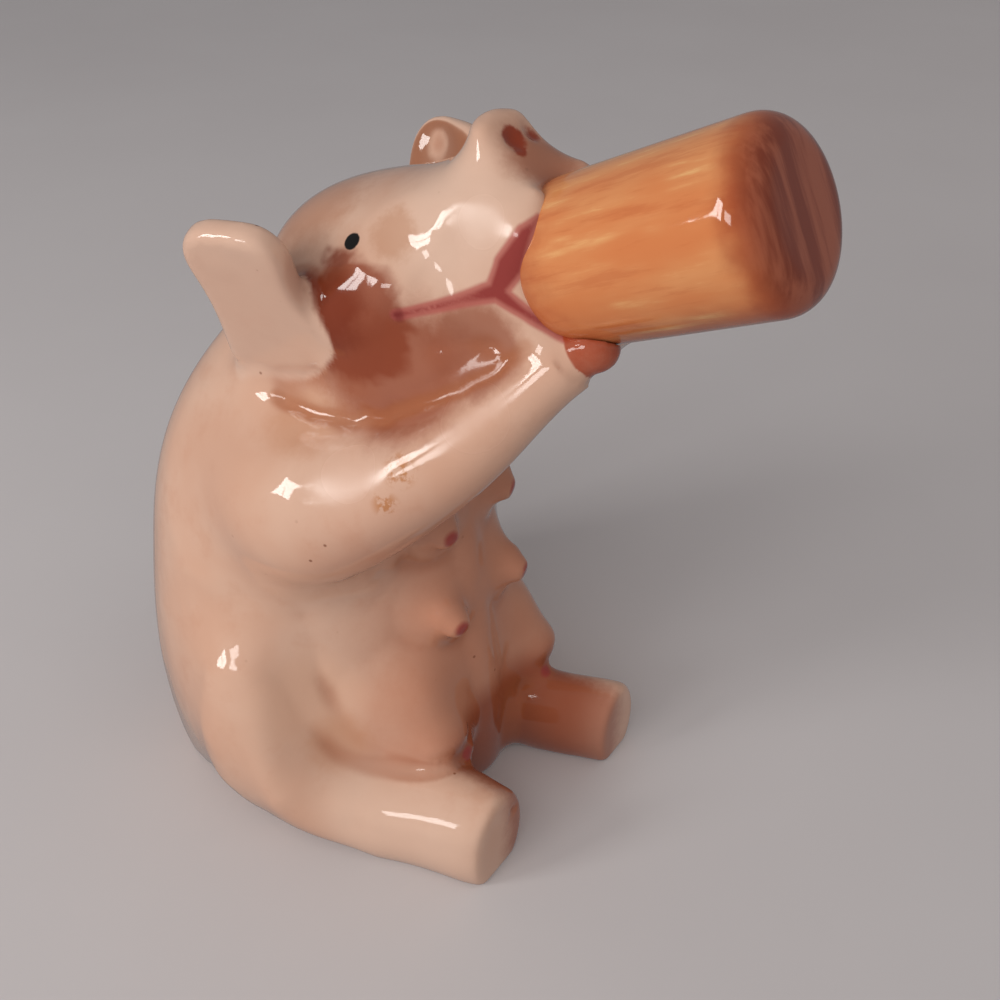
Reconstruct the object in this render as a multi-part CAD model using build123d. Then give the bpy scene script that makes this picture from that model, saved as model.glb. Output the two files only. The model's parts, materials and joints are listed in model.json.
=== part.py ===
"""Sow figurine that sits on her haunches and drinks from a bottle, in glazed earthenware.

The figure is put together from clay pieces that are shaped one by one and luted with slip, so each
smaller piece is trimmed to the face of the piece that it is stuck on.
Millimetres. +Z is up, the sow faces -Y and +X is her left. She sits on the plane Z = 0, with the
origin under her belly.
"""

import os
from math import cos, radians, sin, tan

from build123d import *

os.makedirs("parts", exist_ok=True)

# Torso
torso_height = 88.0
torso_width = 69.0
torso_depth = 64.0
torso_setback = 8.6
torso_wall = 4.5
# Going up: height, half width, half depth and setback of each cross section
torso_shares = (
    (0.000, 0.920, 0.990, 0.95),
    (0.091, 0.970, 1.012, 0.98),
    (0.227, 1.000, 1.000, 1.00),
    (0.364, 0.985, 0.960, 1.04),
    (0.511, 0.936, 0.906, 1.04),
    (0.648, 0.875, 0.844, 1.00),
    (0.761, 0.775, 0.750, 0.95),
    (0.852, 0.635, 0.630, 0.88),
    (0.932, 0.464, 0.484, 0.79),
    (1.000, 0.246, 0.266, 0.70),
)
# Round each cross section from the belly to the back: fullness against an ellipse
torso_round_shares = (1.0, 0.925, 0.895, 0.985, 1.02, 1.02, 1.0)

# Air holes, pierced so that no hollow is shut in for the firing
air_hole_diameter = 3.2
mouth_passage_length = 8.0
cut_overrun = 2.0

# Head, placed from the crown of the torso
head_overhang = 16.6
head_rise = 5.0
head_tilt = 27.0
head_length = 52.0
head_width = 37.0
head_depth = 30.0
head_wall = 3.6
# From the nape to the muzzle: place along the head, height off its axis, half width and half depth
head_shares = (
    (-0.365, 0.20, 0.27, 0.33),
    (-0.308, 0.19, 0.60, 0.60),
    (-0.192, 0.15, 0.87, 0.87),
    (-0.038, 0.07, 1.00, 1.00),
    (0.115, 0.00, 1.00, 1.00),
    (0.250, 0.12, 0.86, 0.81),
    (0.385, 0.33, 0.64, 0.59),
    (0.519, 0.46, 0.50, 0.42),
    (0.605, 0.22, 0.36, 0.30),
)

# Lower jaw
jaw_length = 33.0
jaw_inset = 1.5
jaw_depth = 24.0
jaw_drop = 8.5
# From the throat to the chin: place along the jaw, drop, half width and half depth
jaw_shares = (
    (-0.12, 0.82, 1.00, 1.00),
    (0.18, 1.00, 1.00, 0.96),
    (0.42, 1.12, 0.91, 0.83),
    (0.67, 1.18, 0.65, 0.58),
    (0.88, 1.21, 0.41, 0.37),
)

# Snout pad
snout_width = 14.4
snout_height = 13.4
snout_thickness = 6.0
snout_rounding = 2.3
snout_pitch = 29.0
snout_along_share = 0.525
snout_above_share = 0.74
nostril_diameter = 2.4
nostril_depth = 0.9
nostril_spacing = 5.2

# Lips
lip_diameter = 3.0
# From the corner of the mouth: place along, above and across the head, and across the bottle
# The upper rolls end under the snout, and the lower one runs on round the chin
upper_lip_shares = (
    (0.250, -0.07, 0.84, 0.000),
    (0.435, -0.27, 0.00, 0.891),
    (0.585, 0.12, 0.00, 0.800),
    (0.630, 0.38, 0.00, 0.620),
)
lower_lip_shares = (
    (0.330, -0.20, 0.76, 0.000),
    (0.435, -0.36, 0.00, 0.959),
    (0.565, -0.70, 0.00, 0.757),
    (0.600, -1.04, 0.00, 0.000),
)

# Bottle
bottle_tilt = 25.7
bottle_length = 37.4
bottle_diameter = 23.8
bottle_shoulder_diameter = 22.4
bottle_shoulder_length = 9.0
bottle_rounding = 4.5
bottle_neck_diameter = 11.0
bottle_neck_length = 7.0
bottle_wall = 3.0
bottle_along_share = 0.50
bottle_above_share = -0.27

# Arms
arm_shoulder_width = 23.0
arm_shoulder_height = 26.0
arm_wrist_diameter = 9.6
arm_spread = 4.0
arm_sag = 5.0
arm_tuck = 12.0
left_arm_lift = 4.5
shoulder_height_share = 0.755
shoulder_across_share = 0.76
shoulder_forward_share = 0.67
# From shoulder to wrist: thickness beyond the wrist's, place between shoulder and grip, bend, tuck
arm_shares = (
    (0.70, -0.34, 0.0, 1.0),
    (1.00, 0.00, 0.0, 0.0),
    (0.50, 0.30, 0.8, 0.0),
    (0.24, 0.55, 0.9, 0.0),
    (0.08, 0.72, 0.6, 0.0),
    (0.00, 0.92, 0.0, 0.0),
)

# Trotters, which hold the bottle from below
trotter_diameter = 7.2
trotter_length = 8.6
grip_along = 6.6
right_grip_angle = 57.0
left_grip_angle = 50.0

# Legs, each a haunch and a straight leg
leg_length = 51.5
haunch_back = 37.4
haunch_width = 33.0
haunch_height = 50.0
leg_end_width = 13.6
leg_end_height = 17.0
leg_sink = 3.0
leg_rounding = 1.6
# From haunch to foot: place along the leg, place across the torso, width and height beyond the foot's
right_leg_shares = (
    (0.000, 0.540, 0.85, 1.00),
    (0.270, 0.665, 0.86, 0.84),
    (0.390, 0.660, 0.75, 0.35),
    (0.510, 0.630, 0.58, 0.04),
    (0.660, 0.585, 0.36, -0.03),
    (0.850, 0.545, 0.17, 0.00),
    (1.000, 0.519, 0.00, 0.00),
)
left_leg_shares = (
    (0.000, 0.560, 0.82, 0.90),
    (0.250, 0.630, 0.74, 0.74),
    (0.390, 0.530, 0.50, 0.26),
    (0.510, 0.420, 0.30, 0.03),
    (0.660, 0.350, 0.08, -0.05),
    (0.880, 0.390, -0.06, -0.05),
    (1.055, 0.475, -0.10, -0.05),
)

# Ears, cut from a slab
ear_length = 29.0
ear_width = 16.6
ear_thickness = 4.2
ear_rounding = 1.6
ear_flare = 12.5
ear_toe = 14.0
left_ear_length = 27.0
left_ear_tilt = 17.0
ear_along_share = -0.31
ear_above_share = -0.50
ear_across_share = 0.77
# Round the outline, from the root up the front, over the tip and down the back: place to the front and up
ear_shares = (
    (-0.16, -0.16),
    (0.08, -0.08),
    (0.28, 0.10),
    (0.56, 0.27),
    (0.72, 0.42),
    (0.56, 0.60),
    (0.50, 0.77),
    (0.48, 0.91),
    (0.35, 1.00),
    (0.04, 1.02),
    (-0.28, 0.98),
    (-0.41, 0.88),
    (-0.40, 0.70),
    (-0.38, 0.48),
    (-0.42, 0.22),
    (-0.38, -0.04),
)

# Teats
teat_base_diameter = 12.0
teat_tip_diameter = 3.6
teat_rounding_share = 0.4
teat_length = 9.2
teat_root = 4.5
teat_droop = 12.0
teat_upper_angle = 14.0
teat_middle_angle = 14.0
teat_lower_angle = 18.0
teat_upper_share = 0.652
teat_middle_share = 0.464
teat_lower_share = 0.180

# Tail
tail_diameter = 3.6
tail_curl_diameter = 8.0
tail_start_angle = 100.0
tail_turn_angle = 290.0
tail_lean = 14.0
tail_height_share = 0.26


def torso_section(height_share):
    """Half width, half depth and setback of the torso at a share of its height."""
    low, high = torso_shares[:2]
    for low, high in zip(torso_shares, torso_shares[1:]):
        if height_share <= high[0]:
            break
    blend_share = (height_share - low[0]) / (high[0] - low[0])
    width_share, depth_share, setback_share = (
        first + (second - first) * blend_share for first, second in zip(low[1:], high[1:])
    )
    return width_share * torso_width / 2, depth_share * torso_depth / 2, setback_share * torso_setback


def torso_form(inset):
    """Torso filled in, drawn in on all sides by inset."""
    sections = []
    steps = len(torso_round_shares) - 1
    for height_share, *_ in torso_shares:
        half_width, half_depth, setback = torso_section(height_share)
        points = []
        for step in range(1 - steps, steps + 1):
            angle = radians(180 * step / steps)
            full_share = torso_round_shares[abs(step)]
            across = (half_width - inset) * full_share * sin(angle)
            forward = (half_depth - inset) * full_share * cos(angle)
            points.append((across, setback - forward))
        height = inset + height_share * (torso_height - 2 * inset)
        sections.append(Pos(0, 0, height) * make_face(Spline(*points, periodic=True)))
    return loft(sections)


def air_hole(place, axis, length):
    """Round hole of a given length from a place along an axis."""
    drill = Cylinder(air_hole_diameter / 2, length, align=(Align.CENTER, Align.CENTER, Align.MIN))
    return Plane(origin=place, z_dir=axis).location * drill


head_axis = Vector(0, -cos(radians(head_tilt)), sin(radians(head_tilt)))
head_up = Vector(0, sin(radians(head_tilt)), cos(radians(head_tilt)))
head_middle = Vector(0, torso_setback - head_overhang, torso_height + head_rise)


def head_point(along, above, aside=0):
    """Place in the head: along its axis, above that axis and toward the left."""
    return head_middle + head_axis * along + head_up * above + Vector(aside, 0, 0)


def head_loft(stations):
    """Skin through ellipses across the head: along, above, half width and half depth of each."""
    sections = []
    for along, above, half_width, half_depth in stations:
        plane = Plane(origin=head_point(along, above), x_dir=(1, 0, 0), z_dir=head_axis)
        sections.append(plane * Ellipse(half_width, half_depth))
    return loft(sections)


def head_form(shares, inset):
    """Skull and muzzle filled in, drawn in on all sides by inset."""
    stations = []
    for along_share, above_share, width_share, depth_share in shares:
        along = along_share * (head_length - 2 * inset)
        above = above_share * head_depth / 2
        half_width = width_share * head_width / 2 - inset
        half_depth = depth_share * head_depth / 2 - inset
        stations.append((along, above, half_width, half_depth))
    return head_loft(stations)


def jaw_form():
    """Jowl and chin."""
    stations = []
    for along_share, drop_share, width_share, depth_share in jaw_shares:
        half_width = width_share * (head_width / 2 - jaw_inset)
        half_depth = depth_share * jaw_depth / 2
        stations.append((along_share * jaw_length, -drop_share * jaw_drop, half_width, half_depth))
    return head_loft(stations)


def snout_form():
    """Oval pad with two shallow nostrils."""
    pad = extrude(Ellipse(snout_width / 2, snout_height / 2), amount=snout_thickness / 2, both=True)
    pad = fillet(pad.edges(), snout_rounding)
    lift = snout_thickness / 2 + nostril_diameter / 2 - nostril_depth
    for side in (-1, 1):
        pad -= Pos(side * nostril_spacing / 2, 0, lift) * Sphere(nostril_diameter / 2)
    place = head_point(snout_along_share * head_length, snout_above_share * head_depth / 2)
    axis = head_axis * cos(radians(snout_pitch)) + head_up * sin(radians(snout_pitch))
    return Plane(origin=place, x_dir=(1, 0, 0), z_dir=axis).location * pad


def lip_places(side, shares):
    """Places along one side of the mouth, from its corner."""
    places = []
    for along_share, above_share, head_share, bottle_share in shares:
        aside = head_share * head_width / 2 + bottle_share * bottle_shoulder_diameter / 2
        places.append(head_point(along_share * head_length, above_share * head_depth / 2, side * aside))
    return places


def lip_form(places):
    """Roll of clay laid through a row of places."""
    path = Spline(*places)
    return sweep(Plane(origin=path @ 0, z_dir=path % 0) * Circle(lip_diameter / 2), path)


bottle_axis = Vector(0, -cos(radians(bottle_tilt)), sin(radians(bottle_tilt)))
bottle_up = Vector(0, sin(radians(bottle_tilt)), cos(radians(bottle_tilt)))
bottle_mouth = head_point(bottle_along_share * head_length, bottle_above_share * head_depth / 2)


def bottle_form(inset, overrun, rounding):
    """Bottle filled in, drawn in by inset, with its neck run on by overrun."""
    neck = bottle_neck_diameter / 2 - inset
    shoulder = bottle_shoulder_diameter / 2 - inset
    side = bottle_diameter / 2 - inset
    start = -bottle_neck_length - overrun
    shoulder_start = inset - bottle_shoulder_length / 2
    shoulder_end = inset + bottle_shoulder_length / 2
    end = bottle_length - inset
    outline = [
        Polyline((0, end), (0, start), (neck, start), (neck, shoulder_start)),
        Spline(
            (neck, shoulder_start),
            (shoulder, shoulder_end),
            tangents=((0, 1), (side - shoulder, end - shoulder_end)),
        ),
    ]
    if rounding:
        outline += [
            Line((shoulder, shoulder_end), (side, end - rounding)),
            RadiusArc((side, end - rounding), (side - rounding, end), -rounding),
            Line((side - rounding, end), (0, end)),
        ]
    else:
        outline.append(Polyline((shoulder, shoulder_end), (side, end), (0, end)))
    turned = revolve(Plane.XZ * make_face(outline), Axis.Z)
    return Plane(origin=bottle_mouth, x_dir=(1, 0, 0), z_dir=bottle_axis).location * turned


def grip_point(side, angle):
    """Place on the face of the bottle where a trotter holds it."""
    radius = bottle_shoulder_diameter / 2
    across = Vector(side * radius * cos(radians(angle)), 0, 0)
    return bottle_mouth + bottle_axis * grip_along + across - bottle_up * radius * sin(radians(angle))


def arm_form(side, angle, lift):
    """Arm from the shoulder, set in the torso, to the trotter on the bottle."""
    half_width, half_depth, setback = torso_section(shoulder_height_share)
    shoulder = Vector(
        side * shoulder_across_share * half_width,
        setback - shoulder_forward_share * half_depth,
        shoulder_height_share * torso_height,
    )
    reach = grip_point(side, angle) - shoulder
    bend = Vector(side * arm_spread, 0, lift - arm_sag)
    tuck = Vector(-side * arm_tuck, 0, 0)
    points = [
        shoulder + reach * place_share + bend * bend_share + tuck * tuck_share
        for _, place_share, bend_share, tuck_share in arm_shares
    ]
    sections = []
    for i, point in enumerate(points):
        thick_share = arm_shares[i][0]
        width = arm_wrist_diameter + thick_share * (arm_shoulder_width - arm_wrist_diameter)
        height = arm_wrist_diameter + thick_share * (arm_shoulder_height - arm_wrist_diameter)
        run = points[min(i + 1, len(points) - 1)] - points[max(i - 1, 0)]
        plane = Plane(origin=point, x_dir=Vector(0, 0, 1).cross(run), z_dir=run)
        sections.append(plane * Ellipse(width / 2, height / 2))
    return loft(sections)


def trotter_form(side, angle):
    """Rounded tip that closes on the bottle."""
    ball = Sphere(trotter_diameter / 2)
    return Pos(*grip_point(side, angle)) * scale(ball, by=(1, trotter_length / trotter_diameter, 1))


def leg_form(side, shares):
    """Haunch on the side of the torso and the straight leg in front of it, flat on the ground."""
    sections = []
    for along_share, across_share, width_share, height_share in shares:
        width = leg_end_width + width_share * (haunch_width - leg_end_width)
        top = leg_end_height + height_share * (haunch_height - leg_end_height)
        half_height = (top + leg_sink) / 2
        back = torso_setback - torso_depth / 2 + haunch_back - along_share * leg_length
        place = (side * across_share * torso_width / 2, back, top - half_height)
        plane = Plane(origin=place, x_dir=(1, 0, 0), z_dir=(0, -1, 0))
        sections.append(plane * Ellipse(width / 2, half_height))
    limb = loft(sections)
    limb = fillet(limb.faces().sort_by(Axis.Y)[0].edges(), leg_rounding)
    ground = Box(
        torso_width + 2 * haunch_width,
        torso_depth + 2 * leg_length,
        leg_sink + cut_overrun,
        align=(Align.CENTER, Align.CENTER, Align.MAX),
    )
    return limb - ground


def ear_form(side, length, tilt):
    """Slab with a wavy outline and a round rim that rises from the neck and flares out."""
    root = head_point(ear_along_share * head_length, ear_above_share * head_depth / 2)
    root += Vector(side * ear_across_share * head_width / 2, 0, 0)
    upward = Vector(side * ear_flare, length * tan(radians(tilt)), length)
    forward = Vector(-side * sin(radians(ear_toe)), -cos(radians(ear_toe)), 0)
    points = [(front_share * ear_width, up_share * upward.length) for front_share, up_share in ear_shares]
    slab = extrude(make_face(Spline(*points, periodic=True)), amount=ear_thickness / 2, both=True)
    slab = fillet(slab.edges().filter_by(GeomType.BSPLINE), ear_rounding)
    return Plane(origin=root, x_dir=forward, z_dir=forward.cross(upward)).location * slab


def teat_form(side, height_share, angle):
    """Cone with a blunt tip, square to the belly and drooping a little."""
    cone = Cone(
        teat_base_diameter / 2,
        teat_tip_diameter / 2,
        teat_length,
        align=(Align.CENTER, Align.CENTER, Align.MIN),
    )
    cone = fillet(cone.edges().sort_by(Axis.Z)[-1], teat_rounding_share * teat_tip_diameter)
    half_width, half_depth, setback = torso_section(height_share)
    across = side * sin(radians(angle))
    forward = cos(radians(angle))
    place = (across * half_width, setback - forward * half_depth, height_share * torso_height)
    plane = Plane(origin=place, z_dir=(across, -forward, -sin(radians(teat_droop))))
    return plane.location * Pos(0, 0, -teat_root) * cone


def tail_form():
    """Curl that lies on the back, with its root sunk in."""
    curl_radius = tail_curl_diameter / 2
    path = CenterArc((0, 0), curl_radius, tail_start_angle, tail_turn_angle)
    curl = sweep(Plane(origin=path @ 0, z_dir=path % 0) * Circle(tail_diameter / 2), path)
    curl += Pos(*(path @ 1)) * Sphere(tail_diameter / 2)
    _, half_depth, setback = torso_section(tail_height_share)
    place = (0, setback + half_depth, tail_height_share * torso_height)
    return Plane(origin=place, x_dir=(1, 0, 0), z_dir=(0, 1, 0)).location * Rot(-tail_lean, 0, 0) * curl


def trimmed(form, *neighbours):
    """The main body of what is left of a form outside its neighbours."""
    for neighbour in neighbours:
        form = form - neighbour
    return form.solids().sort_by(SortBy.VOLUME)[-1]


def hollow_torso():
    """Torso shell with a vent in the seat and an air hole up into the head."""
    drill = torso_wall + 2 * cut_overrun
    shell = torso - torso_form(torso_wall)
    for height_share, height in ((0, -cut_overrun), (1, torso_height + cut_overrun - drill)):
        _, _, setback = torso_section(height_share)
        shell -= air_hole((0, setback, height), (0, 0, 1), drill)
    return trimmed(shell)


torso = torso_form(0)
bottle = bottle_form(0, 0, bottle_rounding)
head = head_form(head_shares, 0)
jaw = jaw_form()
snout = snout_form()
right_upper_lip, left_upper_lip = (lip_form(lip_places(side, upper_lip_shares)) for side in (-1, 1))
lower_lip = lip_form(lip_places(1, lower_lip_shares) + lip_places(-1, lower_lip_shares[:-1])[::-1])
passage_start = bottle_mouth - bottle_axis * (bottle_neck_length + mouth_passage_length)
passage = air_hole(passage_start, bottle_axis, mouth_passage_length + cut_overrun)

pieces = {
    "torso_shell": hollow_torso(),
    "bottle": trimmed(bottle, bottle_form(bottle_wall, cut_overrun, 0)),
    "head_shell": trimmed(head, head_form(head_shares[1:-2], head_wall), torso, bottle, passage),
    "lower_jaw": trimmed(jaw, torso, head, bottle, passage),
    "snout": trimmed(snout, head, bottle),
    "right_upper_lip": trimmed(right_upper_lip, head, jaw, bottle, snout),
    "left_upper_lip": trimmed(left_upper_lip, head, jaw, bottle, snout),
    "lower_lip": trimmed(lower_lip, head, jaw, bottle, right_upper_lip, left_upper_lip),
    "tail": trimmed(tail_form(), torso),
}
for name, side, angle, lift, leg_shares, ear_sizes in (
    ("right", -1, right_grip_angle, 0, right_leg_shares, (ear_length, 0)),
    ("left", 1, left_grip_angle, left_arm_lift, left_leg_shares, (left_ear_length, left_ear_tilt)),
):
    arm = arm_form(side, angle, lift)
    leg = leg_form(side, leg_shares)
    pieces[f"{name}_arm"] = trimmed(arm, torso, head, jaw, bottle, lower_lip)
    pieces[f"{name}_trotter"] = trimmed(trotter_form(side, angle), arm, bottle, jaw, lower_lip)
    pieces[f"{name}_leg"] = trimmed(leg, torso)
    pieces[f"{name}_ear"] = trimmed(ear_form(side, *ear_sizes), torso, head, jaw, arm)
    for level, height_share, teat_angle in (
        ("upper", teat_upper_share, teat_upper_angle),
        ("middle", teat_middle_share, teat_middle_angle),
        ("lower", teat_lower_share, teat_lower_angle),
    ):
        teat = teat_form(side, height_share, teat_angle)
        pieces[f"{name}_{level}_teat"] = trimmed(teat, torso, leg, arm)

for name, piece in pieces.items():
    export_step(piece, f"parts/{name}.step")
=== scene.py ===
# Glazed earthenware sow sitting on its haunches and drinking from a fat bottle
import json
import math

import bpy
import numpy as np
from mathutils import Matrix, Vector
from mathutils.bvhtree import BVHTree

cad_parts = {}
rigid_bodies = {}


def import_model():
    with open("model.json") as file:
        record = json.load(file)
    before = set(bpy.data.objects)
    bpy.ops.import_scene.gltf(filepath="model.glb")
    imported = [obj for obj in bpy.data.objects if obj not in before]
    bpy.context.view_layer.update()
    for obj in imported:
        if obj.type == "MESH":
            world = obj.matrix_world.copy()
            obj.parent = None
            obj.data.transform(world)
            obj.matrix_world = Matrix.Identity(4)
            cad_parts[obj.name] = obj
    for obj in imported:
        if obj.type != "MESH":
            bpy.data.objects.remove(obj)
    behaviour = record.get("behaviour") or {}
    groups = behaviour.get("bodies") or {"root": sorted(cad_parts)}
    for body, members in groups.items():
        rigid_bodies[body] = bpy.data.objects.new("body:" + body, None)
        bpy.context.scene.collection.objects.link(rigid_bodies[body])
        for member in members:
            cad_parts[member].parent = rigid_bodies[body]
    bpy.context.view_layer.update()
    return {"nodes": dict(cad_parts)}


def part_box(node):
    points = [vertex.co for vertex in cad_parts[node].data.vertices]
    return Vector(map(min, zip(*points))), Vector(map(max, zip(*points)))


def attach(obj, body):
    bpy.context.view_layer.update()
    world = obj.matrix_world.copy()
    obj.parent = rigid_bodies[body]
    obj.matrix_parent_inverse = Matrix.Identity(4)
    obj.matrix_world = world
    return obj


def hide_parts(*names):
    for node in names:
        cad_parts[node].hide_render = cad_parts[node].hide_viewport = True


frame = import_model()
nodes = frame["nodes"]
MM = 0.001
MM_PER_METRE = 1000.0
SIDES = (-1, 1)

# Clay pieces and the finish on each
CLAY = {
    "torso_shell": "body_glaze",
    "head_shell": "body_glaze",
    "lower_jaw": "body_glaze",
    "snout": "body_glaze",
    "right_upper_lip": "lip_glaze",
    "left_upper_lip": "lip_glaze",
    "lower_lip": "lip_glaze",
    "right_ear": "body_glaze",
    "left_ear": "body_glaze",
    "right_arm": "body_glaze",
    "left_arm": "body_glaze",
    "right_trotter": "trotter_glaze",
    "left_trotter": "trotter_glaze",
    "right_leg": "body_glaze",
    "left_leg": "body_glaze",
    "right_upper_teat": "body_glaze",
    "left_upper_teat": "body_glaze",
    "right_middle_teat": "body_glaze",
    "left_middle_teat": "body_glaze",
    "right_lower_teat": "body_glaze",
    "left_lower_teat": "body_glaze",
    "tail": "body_glaze",
}
# How far the slip was worked round the joint of two kinds of piece, in mm
SLIP = {
    ("arm", "torso"): 11.0,
    ("leg", "torso"): 9.0,
    ("head", "torso"): 8.0,
    ("jaw", "torso"): 4.0,
    ("head", "jaw"): 8.0,
    ("ear", "head"): 1.2,
    ("ear", "torso"): 5.0,
    ("arm", "ear"): 1.5,
    ("arm", "jaw"): 3.5,
    ("arm", "head"): 2.0,
    ("head", "snout"): 3.5,
    ("head", "lip"): 2.2,
    ("jaw", "lip"): 2.2,
    ("lip", "lip"): 2.0,
    ("teat", "torso"): 3.4,
    ("leg", "teat"): 0.8,
    ("arm", "trotter"): 1.2,
    ("tail", "torso"): 2.0,
}
SLIP_ELSEWHERE = 1.5
# The haunch is worked in wide at the back, and keeps its crease in front
HAUNCH_FRONT_SHARE = 0.28
HAUNCH_TOP_SHARE = 0.45
HAUNCH_BACK = (4 * MM, 14 * MM)
HAUNCH_TOP = (32 * MM, 42 * MM)

NAMES = list(CLAY)
TEATS = [node for node in NAMES if node.endswith("teat")]
# Voxels of the fused clay, reach of the distances, thickness of a piece, swelling that closes gaps
GRAIN = 0.6 * MM
FAR = 12 * MM
SKIN = 1.2 * MM
CLOSING = 0.7 * MM
# Square of a length that counts as none
TINY = 1e-12

# Balls of clay worked into the creases on both sides: place and radius in mm
FILLING = (
    ((12.0, -15.0, 76.5), 5.5),
    ((13.0, -6.5, 79.0), 6.0),
    ((12.0, -22.5, 81.0), 4.0),
    ((13.5, -2.0, 80.5), 5.0),
    ((7.2, -31.5, 108.5), 3.8),
    ((7.6, -30.5, 105.0), 4.0),
    ((7.6, -29.5, 101.8), 4.0),
    ((8.2, -34.5, 109.5), 3.6),
    ((6.0, -34.5, 112.3), 3.0),
    ((9.2, -33.6, 106.0), 3.2),
    ((8.2, -27.0, 100.6), 3.8),
    ((8.6, -36.2, 99.2), 3.4),
)
# The same round the belly and the haunches, worked in wider
LOW_FILLING = (
    ((13.5, -18.0, 27.5), 5.5),
    ((17.0, -13.5, 24.0), 6.0),
    ((31.5, 13.0, 18.0), 5.5),
    ((29.5, 17.0, 18.0), 5.5),
    ((30.5, 12.5, 8.0), 5.0),
    ((28.5, 16.0, 8.0), 5.0),
    ((31.0, 12.5, 28.0), 5.5),
    ((29.5, 16.5, 28.0), 5.5),
    ((27.0, -9.0, 6.5), 6.5),
)
# Hanging clay behind each lower teat: place and radius in mm
SAC_PLACE = (13.8, -20.3, 19.6)
SAC_RADIUS = 6.4
# Ball that rounds each teat: how far behind the tip, and its radius, in mm
TEAT_BALL_BACK = 4.6
TEAT_BALL_RADIUS = 3.7
# Slices of a teat taken as its tip and its root, and the middle of the torso that it points away from
TIP_SLICE = 0.4 * MM
ROOT_SLICE = 2 * MM
TORSO_MIDDLE = np.array((0, 8 * MM))

# Groove between the jaw and the arm, from behind the ear to the wrist, in mm
GROOVE = (
    (17.2, 1.4, 78.2),
    (16.0, -6.0, 77.6),
    (14.8, -16.2, 78.8),
    (14.0, -24.9, 84.8),
    (11.9, -31.8, 90.5),
    (10.4, -37.0, 95.4),
)
GROOVE_STEPS = 25
GROOVE_DEPTH = 0.6 * MM
GROOVE_WIDTH = 1.1 * MM
# Where the groove begins at the back and ends in front
GROOVE_BACK = (1 * MM, -7 * MM)
GROOVE_FRONT = (-37 * MM, -33 * MM)

# Mouth line from its corner to the fork, and both branches, each place with a half width, in mm
CORNER = ((15.7, -19.7, 97.6), 0.7)
MIDWAY = ((14.5, -25.3, 99.5), 0.8)
FORK = ((11.6, -32.0, 102.2), 1.5)
UPPER_LOW = ((11.0, -34.0, 106.0), 2.1)
UPPER_HIGH = ((9.6, -35.4, 110.0), 1.3)
UPPER_END = ((7.9, -36.3, 112.2), 0.5)
LOWER_BEND = ((11.2, -36.0, 100.4), 1.0)
LOWER_END = ((9.8, -41.4, 98.9), 0.8)
MOUTH = (
    (CORNER, MIDWAY),
    (MIDWAY, FORK),
    (FORK, UPPER_LOW),
    (UPPER_LOW, UPPER_HIGH),
    (UPPER_HIGH, UPPER_END),
    (FORK, LOWER_BEND),
    (LOWER_BEND, LOWER_END),
)

# Bottle: mouth end, axis and sizes
BOTTLE_MOUTH = Vector((0, -33.0, 101.2)) * MM
BOTTLE_TILT = math.radians(25.7)
BOTTLE_LENGTH = 37.4 * MM
BOTTLE_RADIUS = 11.9 * MM
BOTTLE_SHOULDER_RADIUS = 11.2 * MM
BOTTLE_SHOULDER = 4.5 * MM
BOTTLE_ROUNDING = 4.5 * MM
BOTTLE_AXIS = Vector((0, -math.cos(BOTTLE_TILT), math.sin(BOTTLE_TILT)))
# Steps from the shoulder to the end of the neck: drop in mm, and narrowing
NECK_STEPS = ((1.2, 0.95), (1.5, 0.88), (1.5, 0.85), (1.8, 0.8), (2.0, 0.85), (5.5, 0.95))
NECK_RING = 2.0 * MM
END_RING = 2.1 * MM
# Heights in mm of the rings that divide its side
SIDE_RINGS = range(8, 34, 3)

# Snout pad: middle and the way it faces
SNOUT_MIDDLE = Vector((0, -27.3, 115.3)) * MM
SNOUT_AXIS = Vector((0, -0.559, 0.829))

# Nostrils: the place between them, and the press that makes each, in mm
NOSTRIL_MIDDLE = np.array((1.0, -28.3, 118.3))
NOSTRIL_ASIDE = 2.1
NOSTRIL_DEPTH = 0.8
NOSTRIL_REACH = 2.2

# Vent in the seat, stopped up and then bored blind below the seat's height
VENT = Vector((0, 8.17, 0)) * MM
VENT_RADIUS = 2.4 * MM
VENT_PLUG = 4 * MM
VENT_DEPTH = 2.5 * MM
SEAT_HEIGHT = 1 * MM
# Plug in the throat: how far behind the bottle's mouth end in mm, and its sizes
THROAT_BACK = 11
THROAT_RADIUS = 6.4 * MM
THROAT_LENGTH = 16 * MM

# Presses of the fingers on both sides: place, move and reach in mm
PRESSES = (
    # Upper arm flattened between the shoulder and the elbow, lightly
    ((26.0, -15.5, 76.0), (-0.6, 0, -0.4), 9),
    # Hollow before the eye, the cheek under it
    ((12.5, -18.5, 106.0), (-0.9, 0, -0.6), 7),
    ((15.5, -21.0, 101.0), (0.7, 0, 0.3), 6),
    # Ear cupped on its inner side
    ((21.8, 2.0, 104.5), (1.3, 0, 0.2), 6),
    # Cleft in the end of the leg
    ((14.2, -37.5, 10.9), (-0.2, 0.5, -0.5), 1.4),
    ((15.5, -38.5, 9.0), (0, 0.6, 0), 1.3),
)
# Leg squared a little along its upper outer edge, flat on top, in mm
LEG_EDGE_START = np.array((29.0, -15.0, 13.0))
LEG_EDGE_RUN = np.array((-5.5, -20.0, 0.0))
LEG_EDGE_SHARES = (0, 0.25, 0.5, 0.75, 1)
LEG_EDGE_MOVE = (0.5, 0, -0.2)
LEG_EDGE_REACH = 5
# Ridge down the middle of the belly, in mm
RIDGE_PLACE = (-0.5, -21.0)
RIDGE_HEIGHTS = range(14, 62, 3)
RIDGE_MOVE = (0, -0.5, 0)
RIDGE_REACH = 5

# Lamps look at the middle of the figure
FIGURE_MIDDLE = Vector((0, -10, 62)) * MM
WINDOW_LIGHT = (1.0, 0.985, 0.96)
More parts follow.
